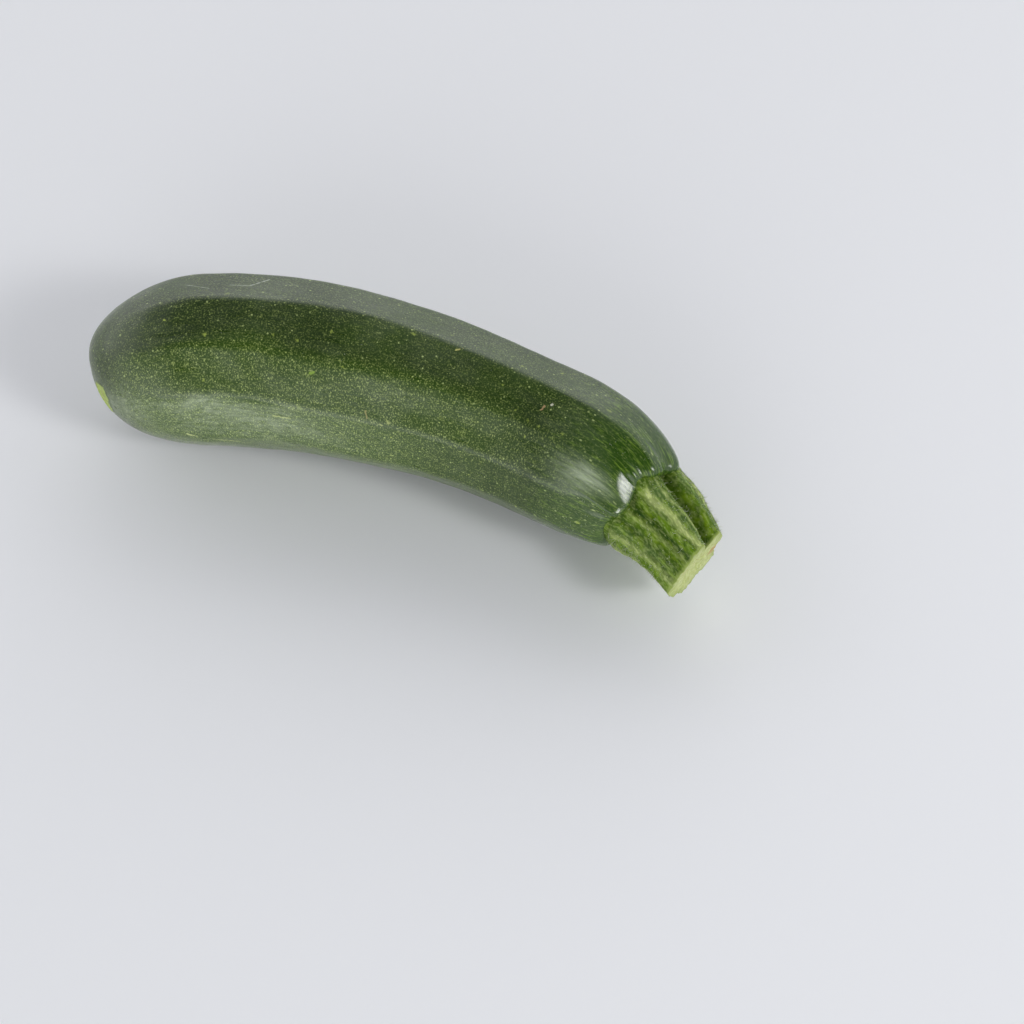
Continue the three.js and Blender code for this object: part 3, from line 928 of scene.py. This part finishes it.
def green_stalk():
    """Fibrous green stalk: pale fibres and ridges over darker grooves, dull with a little sheen."""
    material, tree, shader = new_material("green_stalk")
    along = add(tree, "Attribute", out="Vector", attribute_name="along")
    crest, rim, streak, sheen_flank, lime, line = [
        add(tree, "Attribute", out="Fac", attribute_name=key)
        for key in ("crest", "rim", "streak", "sheen_flank", "lime", "line")
    ]
    body = add(tree, "MapRange", {0: crest, 1: 0.0, 2: 0.9})
    # Lighter blotches, 1.7 mm across, darker ones of 1 mm, and breaks in the dark lines.
    blotch = streaks(tree, along, 1.7, 2.0, 0.47, 0.62, 4.0)
    dark = streaks(tree, along, 1.0, 1.9, 0.48, 0.33, 4.0)
    broken = streaks(tree, along, 0.8, 2.6, 0.66, 0.40, 3.0)
    # Cream fibres, 0.6 mm wide, which run together in the pale streaks.
    fibre = streaks(tree, along, 0.6, 2.8, 0.46, 0.64, 3.0)
    share = add(tree, "MapRange", {0: streak, 3: 0.24, 4: 0.52})
    run = add(tree, "Math", {0: streak, 1: 0.58}, operation="MULTIPLY")
    fibre = add(tree, "Math", {0: fibre, 1: share, 2: run}, operation="MULTIPLY_ADD")
    # Faint stipple of hair bases, 0.8 mm apart. Along the cut's edge the skin is painted paler, a
    # painted highlight.
    stipple = dots(tree, along, 0.8, 0.08, 0.26)
    edge = add(tree, "MapRange", {0: rim, 1: 0.35, 2: 1.0})
    # The grey flanks are painted sheen.
    green = layered(tree, "#254003", [
        (body, 1, "#45620a"), (lime, 0.7, "#688c04"), (sheen_flank, 0.7, "#57733c"),
        (blotch, 0.48, "#87a61e"), (dark, 0.6, "#2a4a04"), (line, broken, "#294805"),
        (fibre, 1, "#c8d588"), (stipple, 0.7, "#b4c480"), (edge, 0.8, "#9dae5c"),
    ])
    dull = add(tree, "MapRange", {0: blotch, 3: 0.60, 4: 0.42})
    relief = add(tree, "TexNoise", {"Vector": along, "Scale": per_mm(0.6), "Detail": 2.0})
    bump = add(tree, "Bump", {"Strength": 0.7, "Distance": 0.0003, "Height": relief})
    fill(tree, shader, {
        "Base Color": green, "Roughness": dull, "IOR": 1.45, "Normal": bump,
        "Subsurface Weight": 0.12, "Subsurface Radius": (0.0008, 0.0012, 0.0004),
        "Specular IOR Level": 0.20, "Sheen Weight": 0.03, "Sheen Tint": linear("#e8ece2"),
    })
    return material


def cut_stalk():
    """Freshly cut stalk: moist pale yellow-green pith with fibre ends and a few browned spots."""
    material, tree, shader = new_material("cut_stalk")
    place = add(tree, "TexCoord", out="Object")
    rim, dry = [add(tree, "Attribute", out="Fac", attribute_name=key) for key in ("rim", "dry")]
    cells = streaks(tree, place, 1.1, 1, 0.35, 0.65, 3.0)
    # A greener ring under the skin, drying spots, 4.5 mm across, and a browned corner.
    ring = add(tree, "MapRange", {0: rim, 1: 0.72, 2: 0.97})
    spots = add(tree, "TexNoise", {"Vector": place, "Scale": per_mm(4.5), "Detail": 2.0})
    spots = add(tree, "MapRange", {0: spots, 1: 0.60, 2: 0.75, 3: 0.0, 4: 0.35})
    spots = add(tree, "Math", {0: dry, 1: 0.8, 2: spots}, operation="MULTIPLY_ADD")
    flesh = layered(tree, "#a4ae66", [(cells, 1, "#bcc585"), (ring, 0.65, "#8a9c48"),
                                      (spots, 1, "#ad9760")])
    bump = add(tree, "Bump", {"Strength": 0.4, "Distance": 0.0002, "Height": cells})
    fill(tree, shader, {
        "Base Color": flesh, "Roughness": 0.45, "IOR": 1.45, "Normal": bump,
        "Subsurface Weight": 0.15, "Subsurface Radius": (0.001, 0.001, 0.0005),
    })
    return material


def bristle():
    """Dry plant hair: colourless and bright against the green."""
    material, tree, shader = new_material("bristle")
    fill(tree, shader, {
        "Base Color": linear("#d6dcc4"), "Roughness": 0.5, "IOR": 1.45, "Transmission Weight": 0.25,
    })
    return material


# ---------- The dressed courgette

fruit = make_fruit()
fruit.data.materials.append(courgette_rind())
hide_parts("fruit")
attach(fruit, "root")

stem = make_stem()
stem.data.materials.append(green_stalk())
stem.data.materials.append(cut_stalk())
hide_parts("stem")
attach(stem, "root")

hair_material = bristle()
for hairs in (make_stem_hairs(), make_skin_hairs()):
    hairs.data.materials.append(hair_material)
    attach(hairs, "root")

# ---------- Floor, light and camera

floor_mesh = bpy.data.meshes.new("floor")
floor_mesh.from_pydata([(-4, -4, 0), (4, -4, 0), (4, 4, 0), (-4, 4, 0)], [], [(0, 1, 2, 3)])
floor = placed("floor", floor_mesh)
card, card_tree, card_shader = new_material("pale_card")
fill(card_tree, card_shader, {"Base Color": linear("#f6f7fa"), "Roughness": 0.7, "IOR": 1.45})
floor.data.materials.append(card)

# The camera stands 60 degrees over the floor, turned 21.43 degrees from the -Y side, and looks at
# a spot on the floor; an 85 mm lens frames 289 mm.
CAMERA_TURN, CAMERA_RISE, CAMERA_FAR = math.radians(21.43), math.radians(60), 0.6828
aim = Vector((0.001 * TO_ORIGIN[0], 0.001 * TO_ORIGIN[1], 0))


def spot(turn, rise, far):
    """The point at a turn from the -Y side, a rise over the floor and a distance from the aim."""
    level = far * math.cos(rise)
    return aim + Vector((level * math.sin(turn), -level * math.cos(turn), far * math.sin(rise)))


def looking(position, target):
    """A placement that looks from one point at another, level across."""
    turn = (target - position).to_track_quat("-Z", "Y")
    return Matrix.Translation(position) @ turn.to_matrix().to_4x4()


camera_data = bpy.data.cameras.new("camera")
camera_data.lens = 85
camera_data.sensor_width = 36
camera = placed("camera", camera_data)
camera.matrix_world = looking(spot(CAMERA_TURN, CAMERA_RISE, CAMERA_FAR), aim)
bpy.context.scene.camera = camera


def softbox(name, turn, rise, size, power, far=2.0):
    """A square area light at a distance from the aim, turned in degrees from the camera's side."""
    data = bpy.data.lights.new(name, "AREA")
    data.shape = "SQUARE"
    data.size = size
    data.energy = power
    place = spot(CAMERA_TURN + math.radians(turn), math.radians(rise), far)
    placed(name, data).matrix_world = looking(place, aim)


# The key is a large softbox with a bright middle hung in front of it.
softbox("key_softbox", 60, 36, 0.65, 9)
softbox("key_middle", 60, 36, 0.28, 3.4, 1.9)
softbox("side_softbox", -125, 8, 2.0, 8)
softbox("front_softbox", -20, 12, 1.8, 12)
softbox("back_softbox", 175, 24, 1.6, 5)

# The room is bright round the table, higher behind it than in front, and dark overhead.
world = bpy.data.worlds.new("studio")
world.use_nodes = True
bpy.context.scene.world = world
sky = world.node_tree
direction = add(sky, "TexCoord", out="Generated")
height = add(sky, "SeparateXYZ", {0: direction}, out=2)
ahead = {0: direction, 1: spot(CAMERA_TURN, 0, 1.0) - aim}
front = add(sky, "VectorMath", ahead, out="Value", operation="DOT_PRODUCT")
front = add(sky, "MapRange", {0: front, 1: -1.0, 2: 1.0, 3: 0.0, 4: 0.4})
height = add(sky, "Math", {0: height, 1: front}, operation="ADD")
level = add(sky, "MapRange", {0: height, 1: 0.62, 2: 0.98}, interpolation_type="SMOOTHSTEP")
glow = layered(sky, "#f6f7fa", [(level, 1, "#34363a")])
fill(sky, sky.nodes["Background"], {"Color": glow, "Strength": 1.36})

bpy.context.scene.view_settings.view_transform = "Standard"
